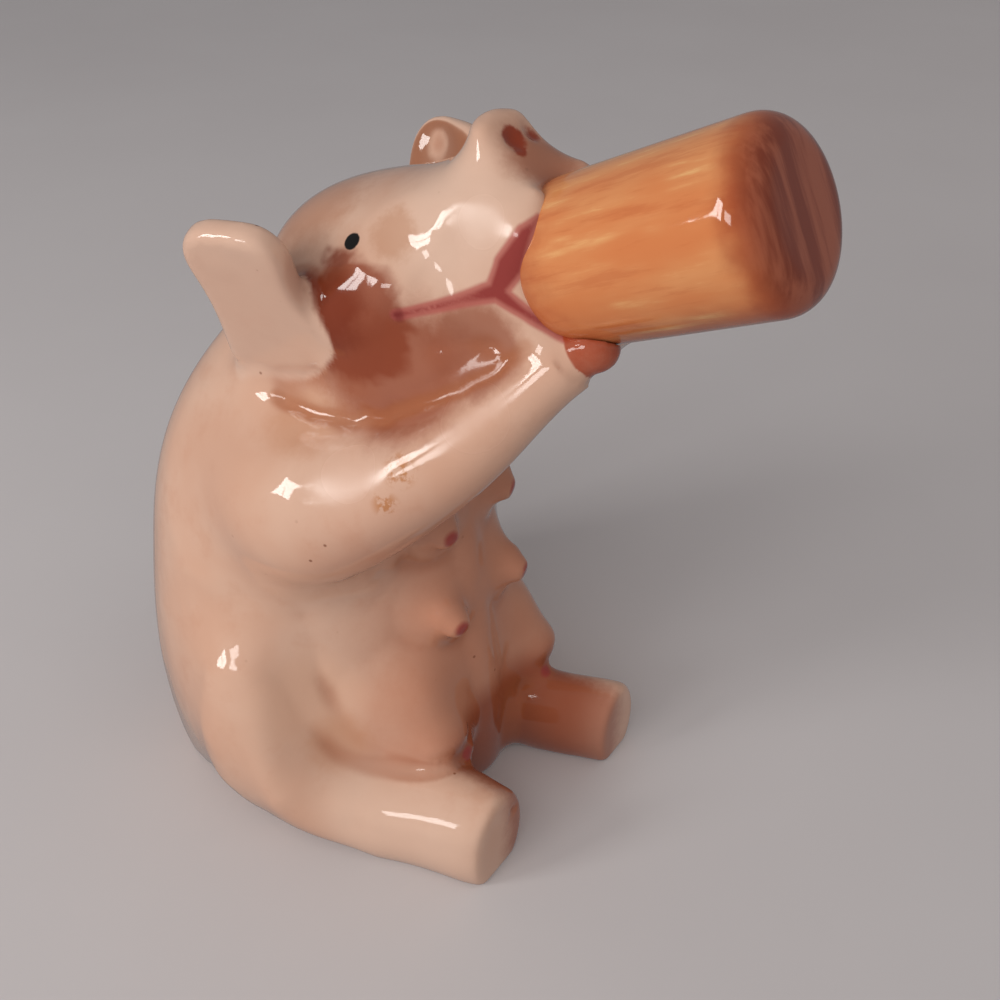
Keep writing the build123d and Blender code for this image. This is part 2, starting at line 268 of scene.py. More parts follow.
# Name, azimuth and height in degrees, distance and size in metres, watts, colour, mirrored in the glaze
LAMPS = (
    ("window_left", -125, 22, 0.62, (0.07, 0.22), 0.62, WINDOW_LIGHT, True),
    ("window_right", -117.5, 22, 0.62, (0.07, 0.22), 0.62, WINDOW_LIGHT, True),
    ("window_side", -98, 22, 0.62, (0.17, 0.12), 0.52, WINDOW_LIGHT, True),
    ("daylight", -78, 35, 2.2, (2.4, 2.0), 19.5, (1.0, 0.98, 0.96), False),
    ("room", -30, 50, 2.2, (2.0, 2.0), 9, (1.0, 0.93, 0.86), False),
    ("bounce", 50, 30, 1.6, (1.6, 1.6), 3.0, (1.0, 0.88, 0.78), False),
)
SKY_STRENGTH = 0.25
FLOOR_SIZE = 6
FLOOR_DROP = 0.02 * MM

# Camera: place in metres, how far it looks down and its turn in degrees, lens and sensor in mm
CAMERA_PLACE = (-0.1261, -0.1111, 0.1695)
CAMERA_DOWN = 35.5
CAMERA_TURN = -55.7
CAMERA_LENS = 43.67
CAMERA_SENSOR = 36
CAMERA_NEAR = 0.01


def pick(*pieces):
    """Selects these pieces alone, with the first one active."""
    bpy.ops.object.select_all(action="DESELECT")
    for piece in pieces:
        piece.select_set(True)
    bpy.context.view_layer.objects.active = pieces[0]


def open_mesh(piece, action="SELECT"):
    """Goes into edit mode on one piece, with all of it selected or none."""
    pick(piece)
    bpy.ops.object.mode_set(mode="EDIT")
    bpy.ops.mesh.select_all(action=action)


def close_mesh():
    bpy.ops.object.mode_set(mode="OBJECT")


def choose_faces(piece, wanted):
    """Goes into edit mode on one piece, with the wanted faces selected."""
    open_mesh(piece, "DESELECT")
    bpy.ops.mesh.select_mode(type="FACE")
    close_mesh()
    for face in piece.data.polygons:
        face.select = wanted(face)
    pick(piece)
    bpy.ops.object.mode_set(mode="EDIT")


def apply_modifier(piece, kind, **settings):
    """Adds one modifier with these settings and applies it."""
    pick(piece)
    modifier = piece.modifiers.new(kind.title(), kind)
    for name, value in settings.items():
        setattr(modifier, name, value)
    bpy.ops.object.modifier_apply(modifier=modifier.name)


def places(piece):
    """Vertex places as an array."""
    flat = np.empty(len(piece.data.vertices) * 3)
    piece.data.vertices.foreach_get("co", flat)
    return flat.reshape(-1, 3)


def put_places(piece, points):
    """Moves the vertices to these places."""
    piece.data.vertices.foreach_set("co", points.ravel())
    piece.data.update()


def smoothstep(values, low, high):
    """Goes smoothly from 0 to 1 while the values go from low to high."""
    share = np.clip((values - low) / (high - low), 0, 1)
    return share * share * (3 - 2 * share)


def on_side(place, side):
    """A place or move on the right (-1) or on the left (1), from the one on the left."""
    return np.array(place) * (side, 1, 1)


def turned_to(axis):
    """Euler angles that turn Z to this axis."""
    return Vector(axis).to_track_quat("Z", "Y").to_euler()


def ball(place, radius):
    """A ball of clay."""
    bpy.ops.object.select_all(action="DESELECT")
    bpy.ops.mesh.primitive_uv_sphere_add(segments=32, ring_count=16, radius=radius, location=place)
    return bpy.context.object


def teat_tip(node):
    """Tip of a teat and the way it points."""
    flat = np.array([v.co for v in nodes[node].data.vertices])
    out = np.linalg.norm(flat[:, :2] - TORSO_MIDDLE, axis=1)
    tip = flat[out > out.max() - TIP_SLICE].mean(0)
    way = Vector(tip - flat[out < out.min() + ROOT_SLICE].mean(0)).normalized()
    return Vector(tip), way


def lump_of_clay():
    """All the luted pieces as one closed lump, with the vent and the throat stopped up."""
    copies = []
    for node in NAMES:
        copy = bpy.data.objects.new("clay", nodes[node].data.copy())
        bpy.context.scene.collection.objects.link(copy)
        copy.data.materials.clear()
        open_mesh(copy)
        bpy.ops.mesh.remove_doubles(threshold=0.001 * MM)
        close_mesh()
        copies.append(copy)
    for place, radius in FILLING + LOW_FILLING:
        for side in SIDES:
            copies.append(ball(Vector(on_side(place, side)) * MM, radius * MM))
    for node in TEATS:
        tip, way = teat_tip(node)
        copies.append(ball(tip - way * TEAT_BALL_BACK * MM, TEAT_BALL_RADIUS * MM))
    for side in SIDES:
        copies.append(ball(Vector(on_side(SAC_PLACE, side)) * MM, SAC_RADIUS * MM))
    throat = BOTTLE_MOUTH - BOTTLE_AXIS * THROAT_BACK * MM
    for middle, axis, radius, depth in (
        (VENT + Vector((0, 0, VENT_PLUG / 2)), (0, 0, 1), VENT_RADIUS, VENT_PLUG),
        (throat, BOTTLE_AXIS, THROAT_RADIUS, THROAT_LENGTH),
    ):
        bpy.ops.object.select_all(action="DESELECT")
        bpy.ops.mesh.primitive_cylinder_add(
            vertices=32, radius=radius, depth=depth, location=middle, rotation=turned_to(axis)
        )
        copies.append(bpy.context.object)
    pick(*copies)
    bpy.ops.object.join()
    lump = copies[0]
    # Swollen, fused and shrunk back, so that narrow gaps stay filled
    apply_modifier(lump, "DISPLACE", strength=CLOSING, mid_level=0)
    apply_modifier(lump, "REMESH", mode="VOXEL", voxel_size=GRAIN, adaptivity=0)
    drop_hollow(lump)
    apply_modifier(lump, "SMOOTH", factor=0.5, iterations=3)
    apply_modifier(lump, "DISPLACE", strength=-CLOSING, mid_level=0)
    points = places(lump)
    points[:, 2] = np.maximum(points[:, 2], 0)
    put_places(lump, points)
    return lump


def drop_hollow(lump):
    """Keeps the outside of the lump and drops the walls of the hollow inside it."""
    points = places(lump)
    open_mesh(lump, "DESELECT")
    bpy.ops.mesh.select_mode(type="VERT")
    close_mesh()
    lump.data.vertices[int(points[:, 2].argmax())].select = True
    pick(lump)
    bpy.ops.object.mode_set(mode="EDIT")
    bpy.ops.mesh.select_linked()
    bpy.ops.mesh.select_all(action="INVERT")
    bpy.ops.mesh.delete(type="VERT")
    close_mesh()


def gap_to(points, node):
    """Distance of every point to one CAD piece, up to FAR."""
    mesh = nodes[node].data
    tree = BVHTree.FromPolygons([v.co for v in mesh.vertices], [list(p.vertices) for p in mesh.polygons])
    low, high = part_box(node)
    near = np.all((points > np.array(low) - FAR) & (points < np.array(high) + FAR), axis=1)
    gaps = np.full(len(points), FAR)
    for i in np.flatnonzero(near):
        *_, distance = tree.find_nearest(points[i], FAR)
        if distance is not None:
            gaps[i] = distance
    return gaps


def gap_to_kind(points, kind):
    """Distance of every point to the nearest CAD piece of one kind, up to FAR."""
    return np.min([gap_to(points, node) for node in NAMES if node.endswith(kind)], axis=0)


def edge_ends(piece):
    """Both ends of every edge, as two arrays of vertex numbers."""
    flat = np.empty(len(piece.data.edges) * 2, np.int32)
    piece.data.edges.foreach_get("vertices", flat)
    return flat[::2], flat[1::2]


def averaged(values, ends, rounds):
    """Values spread over neighbouring vertices a number of times."""
    a, b = ends
    count = np.bincount(a, minlength=len(values)) + np.bincount(b, minlength=len(values))
    for _ in range(rounds):
        columns = []
        for column in values.T if values.ndim > 1 else [values]:
            around = np.bincount(a, column[b], len(values)) + np.bincount(b, column[a], len(values))
            columns.append(around / count)
        values = np.stack(columns, 1) if values.ndim > 1 else columns[0]
    return values


def filling_gap(points, balls):
    """Distance of every point to the nearest of these balls on both sides."""
    gap = np.full(len(points), FAR)
    for place, radius in balls:
        for side in SIDES:
            away = np.linalg.norm(points - on_side(place, side) * MM, axis=1)
            gap = np.minimum(gap, away - radius * MM)
    return gap


def work_joints(lump):
    """Smooths the luted joints, each as far as its slip was worked."""
    points = places(lump)
    gaps = np.stack([gap_to(points, node) for node in NAMES])
    order = np.argsort(gaps, axis=0)[:2]
    second = np.take_along_axis(gaps, order[1:2], 0)[0]
    kinds = [node.removesuffix("_shell").split("_")[-1] for node in NAMES]
    slips = [[SLIP.get(tuple(sorted((a, b))), SLIP_ELSEWHERE) * MM for b in kinds] for a in kinds]
    reach = np.array(slips)[order[0], order[1]]
    haunch = reach == SLIP["leg", "torso"] * MM
    behind = smoothstep(points[haunch, 1], *HAUNCH_BACK)
    above = smoothstep(points[haunch, 2], *HAUNCH_TOP)
    wide = np.maximum(behind, HAUNCH_TOP_SHARE * above)
    reach[haunch] *= HAUNCH_FRONT_SHARE + (1 - HAUNCH_FRONT_SHARE) * wide
    lips, ears = (gaps[[node.endswith(kind) for node in NAMES]].min(0) for kind in ("lip", "ear"))
    filled, low_filled = (filling_gap(points, balls) for balls in (FILLING, LOW_FILLING))
    clear_of_ears = smoothstep(ears, 0.3 * MM, 2 * MM)
    # Where each is smoothed, and how many times
    for name, amounts, rounds in (
        ("filling", (1 - smoothstep(filled, 0.5 * MM, 4.0 * MM)) * clear_of_ears, 150),
        ("low_filling", 1 - smoothstep(low_filled, 1.0 * MM, 6.0 * MM), 300),
        ("luting", 1 - smoothstep(second / reach, 0.15, 1), 420),
        ("lips", 1 - smoothstep(lips, 0.4 * MM, 2.6 * MM), 40),
        ("surface", np.ones(len(points)), 3),
    ):
        group = lump.vertex_groups.new(name=name)
        for i in np.flatnonzero(amounts > 0.01):
            group.add([int(i)], float(amounts[i]), "REPLACE")
        apply_modifier(lump, "SMOOTH", factor=1.0, iterations=rounds, vertex_group=name)


def press(points, place, move, reach):
    """Moves the clay near a place, all in mm, fading to nothing at the reach."""
    away = np.linalg.norm(points - np.array(place) * MM, axis=1) / (reach * MM)
    points += (np.clip(1 - away**2, 0, 1) ** 2)[:, None] * np.array(move) * MM


def nearest(points, place, side):
    """The point of the skin nearest to a place in mm."""
    return points[np.linalg.norm(points - on_side(place, side) * MM, axis=1).argmin()]


def stretch(points, start, end, side):
    """Distance of every point from a line on the skin, and how far along it lies."""
    a, b = nearest(points, start, side), nearest(points, end, side)
    # Both ends may fall on one point, and the line is then that point
    share = np.clip((points - a) @ (b - a) / max((b - a) @ (b - a), TINY), 0, 1)
    return np.linalg.norm(points - a - share[:, None] * (b - a), axis=1), share


def mouth_depth(points):
    """How far every point is inside the mouth line, negative outside it."""
    depth = np.full(len(points), -FAR)
    for side in SIDES:
        for (start, first), (end, last) in MOUTH:
            away, share = stretch(points, start, end, side)
            depth = np.maximum(depth, (first + (last - first) * share) * MM - away)
    return depth


def groove_gap(points):
    """Distance of every point from the groove between the jaw and the arm, a smooth curve along it."""
    steps = np.linspace(0, len(GROOVE) - 1, GROOVE_STEPS)
    bend = np.polyfit(np.arange(len(GROOVE)), np.array(GROOVE), deg=3)
    curve = np.stack([np.polyval(bend[:, axis], steps) for axis in range(3)], 1)
    lines = [(start, end, side) for start, end in zip(curve, curve[1:]) for side in SIDES]
    return np.min([stretch(points, *line)[0] for line in lines], axis=0)


def skin_normals(lump):
    """Vertex normals as an array."""
    flat = np.empty(len(lump.data.vertices) * 3)
    lump.data.vertices.foreach_get("normal", flat)
    return flat.reshape(-1, 3)


def model_by_hand(lump):
    """Small presses of the fingers and tools."""
    points = places(lump)
    for side in SIDES:
        for place, move, reach in PRESSES:
            press(points, on_side(place, side), on_side(move, side), reach)
        for share in LEG_EDGE_SHARES:
            edge = LEG_EDGE_START + share * LEG_EDGE_RUN
            press(points, on_side(edge, side), on_side(LEG_EDGE_MOVE, side), LEG_EDGE_REACH)
        nostril = NOSTRIL_MIDDLE + np.array((side * NOSTRIL_ASIDE, 0, 0))
        press(points, nostril, NOSTRIL_DEPTH * -SNOUT_AXIS, NOSTRIL_REACH)
    for height in RIDGE_HEIGHTS:
        press(points, (*RIDGE_PLACE, height), RIDGE_MOVE, RIDGE_REACH)
    # Groove drawn with a tool between the jaw and the arm
    depth = GROOVE_DEPTH * np.exp(-((groove_gap(points) / GROOVE_WIDTH) ** 2))
    depth *= smoothstep(points[:, 1], *GROOVE_BACK) * smoothstep(points[:, 1], *GROOVE_FRONT)
    points -= skin_normals(lump) * depth[:, None]
    # Blind vent in the seat
    from_vent = np.linalg.norm(points[:, :2] - np.array(VENT[:2]), axis=1)
    bored = (from_vent < VENT_RADIUS) & (points[:, 2] < SEAT_HEIGHT)
    points[bored, 2] += VENT_DEPTH
    put_places(lump, points)


def paint_masks(lump):
    """Leaves on every vertex where the glaze pools, what is painted there, and its own normal."""
    points = places(lump)
    mesh = lump.data
    normals = skin_normals(lump)
    ends = edge_ends(lump)
    sunk = ((averaged(points, ends, 60) - points) * normals).sum(1)
    trotters, ears, legs = (gap_to_kind(points, kind) for kind in ("trotter", "ear", "leg"))
    inwards = averaged(-normals[:, 0] * np.sign(points[:, 0]), ends, 4)
    # Inner face of the ears, brown in the glaze, partly painted shade in the cup
    ear_cup = (1 - smoothstep(ears, 0.3 * MM, 1.5 * MM)) * smoothstep(inwards, 0.45, 0.9)
    tips = np.min([np.linalg.norm(points - np.array(teat_tip(n)[0]), axis=1) for n in TEATS], axis=0)
    for name, values in (
        ("pool", smoothstep(averaged(sunk, ends, 3), 0.05 * MM, 0.8 * MM)),
        ("mouth", np.clip(0.5 + mouth_depth(points) / (2 * MM), 0, 1.5)),
        ("groove", 1 - smoothstep(groove_gap(points), 0.3 * MM, 2.2 * MM)),
        ("ear", 1 - smoothstep(ears, 0.3 * MM, 1.0 * MM)),
        ("ear_cup", ear_cup),
        ("leg", 1 - smoothstep(legs, 0.3 * MM, 2.5 * MM)),
        ("trotter", 1 - smoothstep(trotters, 0.1 * MM, 0.7 * MM)),
        ("tip", 1 - smoothstep(tips, 0.5 * MM, 3.2 * MM)),
    ):
        mesh.attributes.new(name, "FLOAT", "POINT").data.foreach_set("value", values)
    mesh.attributes.new("skin_normal", "FLOAT_VECTOR", "POINT").data.foreach_set("vector", normals.ravel())


def close_shell(piece, thinned):
    """Gives the cut skin its thickness, and the normals of the lump, so that no joint shows."""
    outer = len(piece.data.vertices)
    apply_modifier(piece, "SOLIDIFY", thickness=SKIN, offset=-1, use_rim=True)
    if thinned:
        # The inner wall, whose vertices follow the outer ones, keeps half its faces
        choose_faces(piece, lambda face: min(face.vertices) >= outer)
        bpy.ops.mesh.decimate(ratio=0.5)
        close_mesh()
    piece.data.polygons.foreach_set("use_smooth", [True] * len(piece.data.polygons))
    flat = np.empty(len(piece.data.vertices) * 3)
    piece.data.attributes["skin_normal"].data.foreach_get("vector", flat)
    normals = flat.reshape(-1, 3)
    normals[outer:] *= -1
    piece.data.normals_split_custom_set_from_vertices(normals.tolist())
    piece.data.attributes.remove(piece.data.attributes["skin_normal"])


def take_apart(lump):
    """Cuts the lump along its joints, back into the pieces it was luted from, each a closed shell."""
    mesh = lump.data
    points = places(lump)
    ends = edge_ends(lump)
    gaps = np.stack([averaged(gap_to(points, node), ends, 3) for node in NAMES])
    # The fused clay is all quads, and each goes to the piece that its corners are nearest to
    corners = np.empty(len(mesh.polygons) * 4, np.int32)
    mesh.polygons.foreach_get("vertices", corners)
    labels = gaps[:, corners.reshape(-1, 4)].mean(2).argmin(0)
    for node in NAMES:
        mesh.materials.append(bpy.data.materials.new("cut_" + node))
    mesh.polygons.foreach_set("material_index", labels.astype(np.int32))
    pick(lump)
    bpy.ops.mesh.separate(type="MATERIAL")
    pieces = {}
    for piece in list(bpy.context.selected_objects):
        cut = piece.data.materials[piece.data.polygons[0].material_index]
        node = cut.name.removeprefix("cut_")
        piece.name = piece.data.name = "glazed_" + node
        piece.data.materials.clear()
        piece.vertex_groups.clear()
        # The torso is by far the largest piece
        close_shell(piece, thinned=node == "torso_shell")
        pieces[node] = piece
    for node in NAMES:
        bpy.data.materials.remove(bpy.data.materials["cut_" + node])
    return pieces


def bottle_form():
    """Fat bottle: a thrown cylinder with a soft rim, drawn in to its neck."""
    bpy.ops.object.select_all(action="DESELECT")
    side = BOTTLE_LENGTH - BOTTLE_SHOULDER
    bpy.ops.mesh.primitive_cylinder_add(
        vertices=64, radius=BOTTLE_RADIUS, depth=side, location=(0, 0, BOTTLE_SHOULDER + side / 2)
    )
    bottle = bpy.context.object
    bottle.name = bottle.data.name = "glazed_bottle"
    bpy.ops.object.transform_apply(location=True, rotation=True, scale=True)
    # Soft rim round the end face, rings on the face
    choose_faces(bottle, lambda face: face.normal.z > 0.5)
    bpy.ops.mesh.bevel(offset=BOTTLE_ROUNDING, segments=8, profile=0.5)
    close_mesh()
    choose_faces(bottle, lambda face: face.normal.z > 0.99 and len(face.vertices) > 4)
    for _ in range(3):
        bpy.ops.mesh.inset(thickness=END_RING)
    bpy.ops.mesh.poke()
    close_mesh()
    # Shoulder and neck
    choose_faces(bottle, lambda face: face.normal.z < -0.99)
    narrow = BOTTLE_SHOULDER_RADIUS / BOTTLE_RADIUS
    bpy.ops.transform.resize(value=(narrow, narrow, 1))
    for drop, share in NECK_STEPS:
        bpy.ops.mesh.extrude_region_move(TRANSFORM_OT_translate={"value": (0, 0, -drop * MM)})
        bpy.ops.transform.resize(value=(share, share, 1))
    bpy.ops.mesh.inset(thickness=NECK_RING)
    bpy.ops.mesh.poke()
    bpy.ops.mesh.select_all(action="SELECT")
    for height in SIDE_RINGS:
        bpy.ops.mesh.bisect(plane_co=(0, 0, height * MM), plane_no=(0, 0, 1))
        bpy.ops.mesh.select_all(action="SELECT")
    bpy.ops.mesh.remove_doubles(threshold=0.01 * MM)
    bpy.ops.mesh.normals_make_consistent(inside=False)
    close_mesh()
    apply_modifier(bottle, "SUBSURF", levels=1, render_levels=1)
    bottle.location = BOTTLE_MOUTH
    bottle.rotation_euler = (math.pi / 2 - BOTTLE_TILT, 0, 0)
    pick(bottle)
    bpy.ops.object.transform_apply(location=True, rotation=True, scale=True)
    bpy.ops.object.shade_smooth()
    return bottle


class Wire:
    """A shader socket that takes part in Python expressions."""

    def __init__(self, tree, socket):
        self.tree = tree
        self.socket = socket

    def sum(self, operation, first, second):
        return self.node("ShaderNodeMath", {"operation": operation}, {0: first, 1: second})

    def node(self, kind, settings=None, sockets=None, out=0):
        """Adds a node with these settings and these values or links on its sockets."""
        made = self.tree.nodes.new(kind)
        for name, value in (settings or {}).items():
            setattr(made, name, value)
        for key, value in (sockets or {}).items():
            if isinstance(value, Wire):
                self.tree.links.new(value.socket, made.inputs[key])
            else:
                made.inputs[key].default_value = value
        return Wire(self.tree, made.outputs[out])

    def __add__(self, other):
        return self.sum("ADD", self, other)

    __radd__ = __add__

    def __sub__(self, other):
        return self.sum("SUBTRACT", self, other)

    def __rsub__(self, other):
        return self.sum("SUBTRACT", other, self)

    def __mul__(self, other):
        return self.sum("MULTIPLY", self, other)

    __rmul__ = __mul__

    def __abs__(self):
        return self.node("ShaderNodeMath", {"operation": "ABSOLUTE"}, {0: self})

    def step(self, low, high, start=0.0, end=1.0):
        """Goes smoothly from start to end while this goes from low to high."""
        return self.node(
            "ShaderNodeMapRange",
            {"interpolation_type": "SMOOTHSTEP"},
            {"Value": self, "From Min": low, "From Max": high, "To Min": start, "To Max": end},
        )

    def noise(self, scale, detail=3.0, roughness=0.55, distortion=0.0):
        """Noise at these coordinates."""
        sockets = {"Scale": scale, "Detail": detail, "Roughness": roughness, "Distortion": distortion}
        return self.node("ShaderNodeTexNoise", None, {"Vector": self} | sockets)

    def stretched(self, scale, turn=(0, 0, 0)):
        """These coordinates, scaled and then turned."""
        return self.node("ShaderNodeMapping", None, {"Vector": self, "Rotation": turn, "Scale": scale})

    def parts(self):
        """X, Y and Z of these coordinates."""
        split = self.node("ShaderNodeSeparateXYZ", None, {0: self}).socket.node
        return [Wire(self.tree, split.outputs[axis]) for axis in "XYZ"]

    def measured(self, operation, other):
        """A distance or a length along an axis, in mm."""
        found = self.node("ShaderNodeVectorMath", {"operation": operation}, {0: self, 1: other}, "Value")
        return found * MM_PER_METRE

    def away_from(self, place):
        """Distance from a place, both in mm."""
        return self.measured("DISTANCE", tuple(part * MM for part in place))

    def along(self, axis):
        """How far along an axis, in mm."""
        return self.measured("DOT_PRODUCT", axis)

    def between(self, first, second):
        """A colour that goes from the first to the second while this goes from 0 to 1."""
        return self.node("ShaderNodeMix", {"data_type": "RGBA"}, {0: self, 6: first, 7: second}, 2)

    def painted(self, coats):
        """This colour with coats over it, each a display colour and where it lies."""
        ground = self
        for colour, amount in coats:
            ground = amount.between(ground, rgb(*colour))
        return ground


def rgb(red, green, blue):
    """A display colour as the linear one that the shader takes."""
    linear = []
    for part in (red / 255, green / 255, blue / 255):
        linear.append(((part + 0.055) / 1.055) ** 2.4 if part > 0.04045 else part / 12.92)
    return (*linear, 1.0)


def new_material(name):
    """A material with one Principled shader, its tree, and its Object coordinates."""
    material = bpy.data.materials.new(name)
    material.use_nodes = True
    tree = material.node_tree
    shader = tree.nodes["Principled BSDF"]
    where = Wire(tree, tree.nodes.new("ShaderNodeTexCoord").outputs["Object"])
    return material, tree, shader, where


def gloss(shader, where, tree, dull=0.0):
    """Clear glaze, glossy and slightly uneven."""
    shader.inputs["IOR"].default_value = 1.5
    rough = where.noise(90, 3) * 0.08 + 0.02 + dull
    tree.links.new(rough.socket, shader.inputs["Roughness"])
    height = where.noise(110, 2) * 0.7 + where.noise(420, 2) * 0.12
    bump = height.node("ShaderNodeBump", None, {"Strength": 0.25, "Distance": 0.0006, "Height": height})
    tree.links.new(bump.socket, shader.inputs["Normal"])


def skin_glaze(name):
    """Pale peach glaze over buff clay, with rust-brown brushed on and pooled in the creases, painted shade
    on the belly front, the near leg's end, the cheeks under the ears, the snout face and the ear cups, and
    painted light in the hollow of the hip.
    """
    material, tree, shader, where = new_material(name)
    # Coordinates that are the same on both sides, whole and in parts
    x, y, z = where.parts()
    aside = abs(x)
    both = where.node("ShaderNodeCombineXYZ", None, {0: aside, 1: y, 2: z})
    across, back, up = (part * MM_PER_METRE for part in (aside, y, z))
    mottle = where.noise(160, 4, 0.6)
    fine = where.noise(700, 4, 0.65)
    ragged = where.noise(260, 4, 0.7) - 0.5
    blots = where.noise(120, 2, 0.5, 0.8) - 0.5

    def mask(attribute):
        return where.node("ShaderNodeAttribute", {"attribute_name": attribute}, None, "Fac")

    def patch(place, outer, inner, rag=0, around=both):
        """Full within the inner distance from a place in mm, none beyond the outer one, ragged between."""
        away = around.away_from(place)
        return (away + ragged * rag if rag else away).step(outer, inner)

    leg, ear, ear_cup = mask("leg"), mask("ear"), mask("ear_cup")
    bare = 1.0 - ear
    # Belly front and sides, washed orange-brown, which is partly painted warm shade there
    belly_wash_and_shade = (back + across * 0.35 + ragged * 6).step(4, -20) * up.step(84, 55) * (1.0 - leg)
    # Inner sides of the legs and the near leg's end, rust, which on the end face is painted shade
    inner_leg_wash_and_shade = (across + ragged * 4).step(19, 13) * (back + ragged * 4).step(-12, -24) * up.step(24, 17)
    outer_leg = leg * across.step(20, 27) * back.step(-8, -16)
    cheek = both.away_from((18.5, -12.5, 95.5)) + ragged * 1.5 + blots * 9
    # Cheek by the ear, darker rust, which is partly painted shade under the ear
    cheek_wash_and_ear_shade = both.away_from((18.3, -9.0, 97.0)) + ragged * 2 + blots * 6
    smudges = patch((23.4, -24.9, 79.2), 3.2, 1.0) + patch((25.5, -23.8, 74.3), 2.6, 0.6)
    # Face of the snout pad, painted brown, partly as shade
    snout_face = (where.along(SNOUT_AXIS) - SNOUT_AXIS.dot(SNOUT_MIDDLE) * MM_PER_METRE).step(-1.5, 1.5)
    near_nostril = patch((-0.6, -28.0, 118.4), 2.4, 1.2, 1.5, where)
    run = patch((-1.6, -29.5, 117.4), 1.5, 0.6, 1.2, where)
    far_nostril = patch((3.4, -28.4, 118.2), 2.0, 1.0, 1.2, where)
    mouth = mask("mouth") + ragged * 0.15
    voronoi = {"Vector": where, "Scale": 190.0, "Randomness": 1.0}
    specks = where.node("ShaderNodeTexVoronoi", None, voronoi, "Distance").step(0.07, 0.03)
    eye = both.away_from((14.0, -11.2, 104.9)) + (fine - 0.5) * 0.35

    ground = where.noise(38, 3).step(0.35, 0.65).between(rgb(204, 160, 136), rgb(210, 172, 150))
    ground = ground.painted((
        ((196, 146, 120), mottle.step(0.5, 0.75) * 0.35),
        # Paler muzzle and brow, tan strokes over the forehead
        ((216, 184, 164), patch((8, -25, 109), 15, 4) * 0.7),
        ((170, 112, 80), patch((7, 1, 105), 12, 4, 8) * 0.55),
        ((176, 122, 88), patch((12.7, -17, 107.1), 4.6, 2, 5) * 0.45),
        # Belly front and sides washed orange-brown, partly painted warm shade; the inner sides of the legs
        # rust, with painted shade on the near leg's end face
        ((170, 98, 66), belly_wash_and_shade * 0.62),
        # Rust on the inner sides of the legs; on the near leg's end face it is painted shade
        ((146, 74, 46), inner_leg_wash_and_shade * back.step(-46, -32, 0.55, 0.95)),
        # Jowl, nape, chin and shoulder
        ((150, 84, 60), patch((12, -19, 88), 15, 8, 4) * bare * 0.9),
        ((158, 94, 68), patch((12, -10, 87), 9.5, 5.5, 3) * bare * 0.8),
        ((150, 86, 62), patch((12, -29.5, 94), 8.5, 5, 3) * 0.8),
        ((188, 134, 100), patch((19.5, -5, 77), 9, 3, 5) * bare * 0.55),
        # Pale patch in the hollow of the hip, painted light over its shade; tan in its crease, paler outer
        # side of the leg
        ((224, 178, 150), patch((27.5, -6.0, 30), 12, 3, 3) * 0.65),
        ((190, 130, 92), patch((25.5, -10.5, 21), 7, 2, 4) * 0.45),
        ((214, 182, 162), outer_leg * 0.6),
        # Glaze pooled in the creases and in the groove
        ((156, 86, 52), (mask("pool") + ragged * 0.25).step(0.08, 0.75) * 0.45),
        ((166, 100, 62), (mask("groove") + ragged * 0.3).step(0.1, 0.9) * 0.35),
        # Rust wash on the cheek, darker near the ear, where the darker rust is partly painted shade under
        # the ear
        ((134, 60, 34), cheek.step(10.4, 7.6) * bare * 0.85),
        ((114, 42, 18), cheek_wash_and_ear_shade.step(8.0, 3.5) * bare * 0.8),
        # Inside of the cupped ears brown, partly painted shade; paler outside
        ((146, 88, 58), (ear_cup + ragged * 0.3).step(0.35, 0.8) * 0.85),
        ((214, 180, 160), ear * (1.0 - ear_cup) * 0.55),
        # Ochre smudges on the arm
        ((178, 114, 64), smudges * fine.step(0.46, 0.58) * 0.8),
        # Snout face brown, partly painted shade; nostrils; a dark spot under them
        ((150, 86, 58), snout_face * patch((1.0, -32.0, 116), 8.5, 3, 4, where) * 0.8),
        ((134, 48, 20), (near_nostril + run + far_nostril).step(0.1, 0.9) * 0.95),
        # The dark spot is painted shade, as of a deep hole seen edge-on
        ((70, 34, 18), patch((-3.0, -31.6, 116.0), 0.9, 0.5, around=where) * 0.9),
        # Mouth line and its corners
        ((172, 88, 80), mouth.step(0.3, 0.62) * 0.85),
        ((134, 42, 40), mouth.step(0.6, 1.0) * 0.85),
        ((110, 34, 32), patch((15.6, -19.8, 97.6), 1.6, 0.6, 1.2) * 0.8),
        # Teat tips, trotters
        ((150, 52, 48), (mask("tip") + ragged * 0.3).step(0.55, 1.0) * 0.9),
        ((160, 64, 32), mask("trotter").step(0.35, 0.75) * (fine * 0.25 + 0.75)),
        # Dark specks in the clay, eyes
        ((120, 66, 40), specks * where.noise(60, 1).step(0.55, 0.62) * 0.8),
        ((14, 11, 10), eye.step(1.35, 1.1)),
    ))
    tree.links.new(ground.socket, shader.inputs["Base Color"])
    # Thin, duller glaze along the arm and on the muzzle
    dull = patch((17.0, -32.5, 87.0), 10, 1) + patch((25.3, -17.0, 77.0), 9, 1)
    gloss(shader, where, tree, (dull + patch((9.0, -29.0, 110.0), 7.5, 0.5)) * 0.36)
    return material


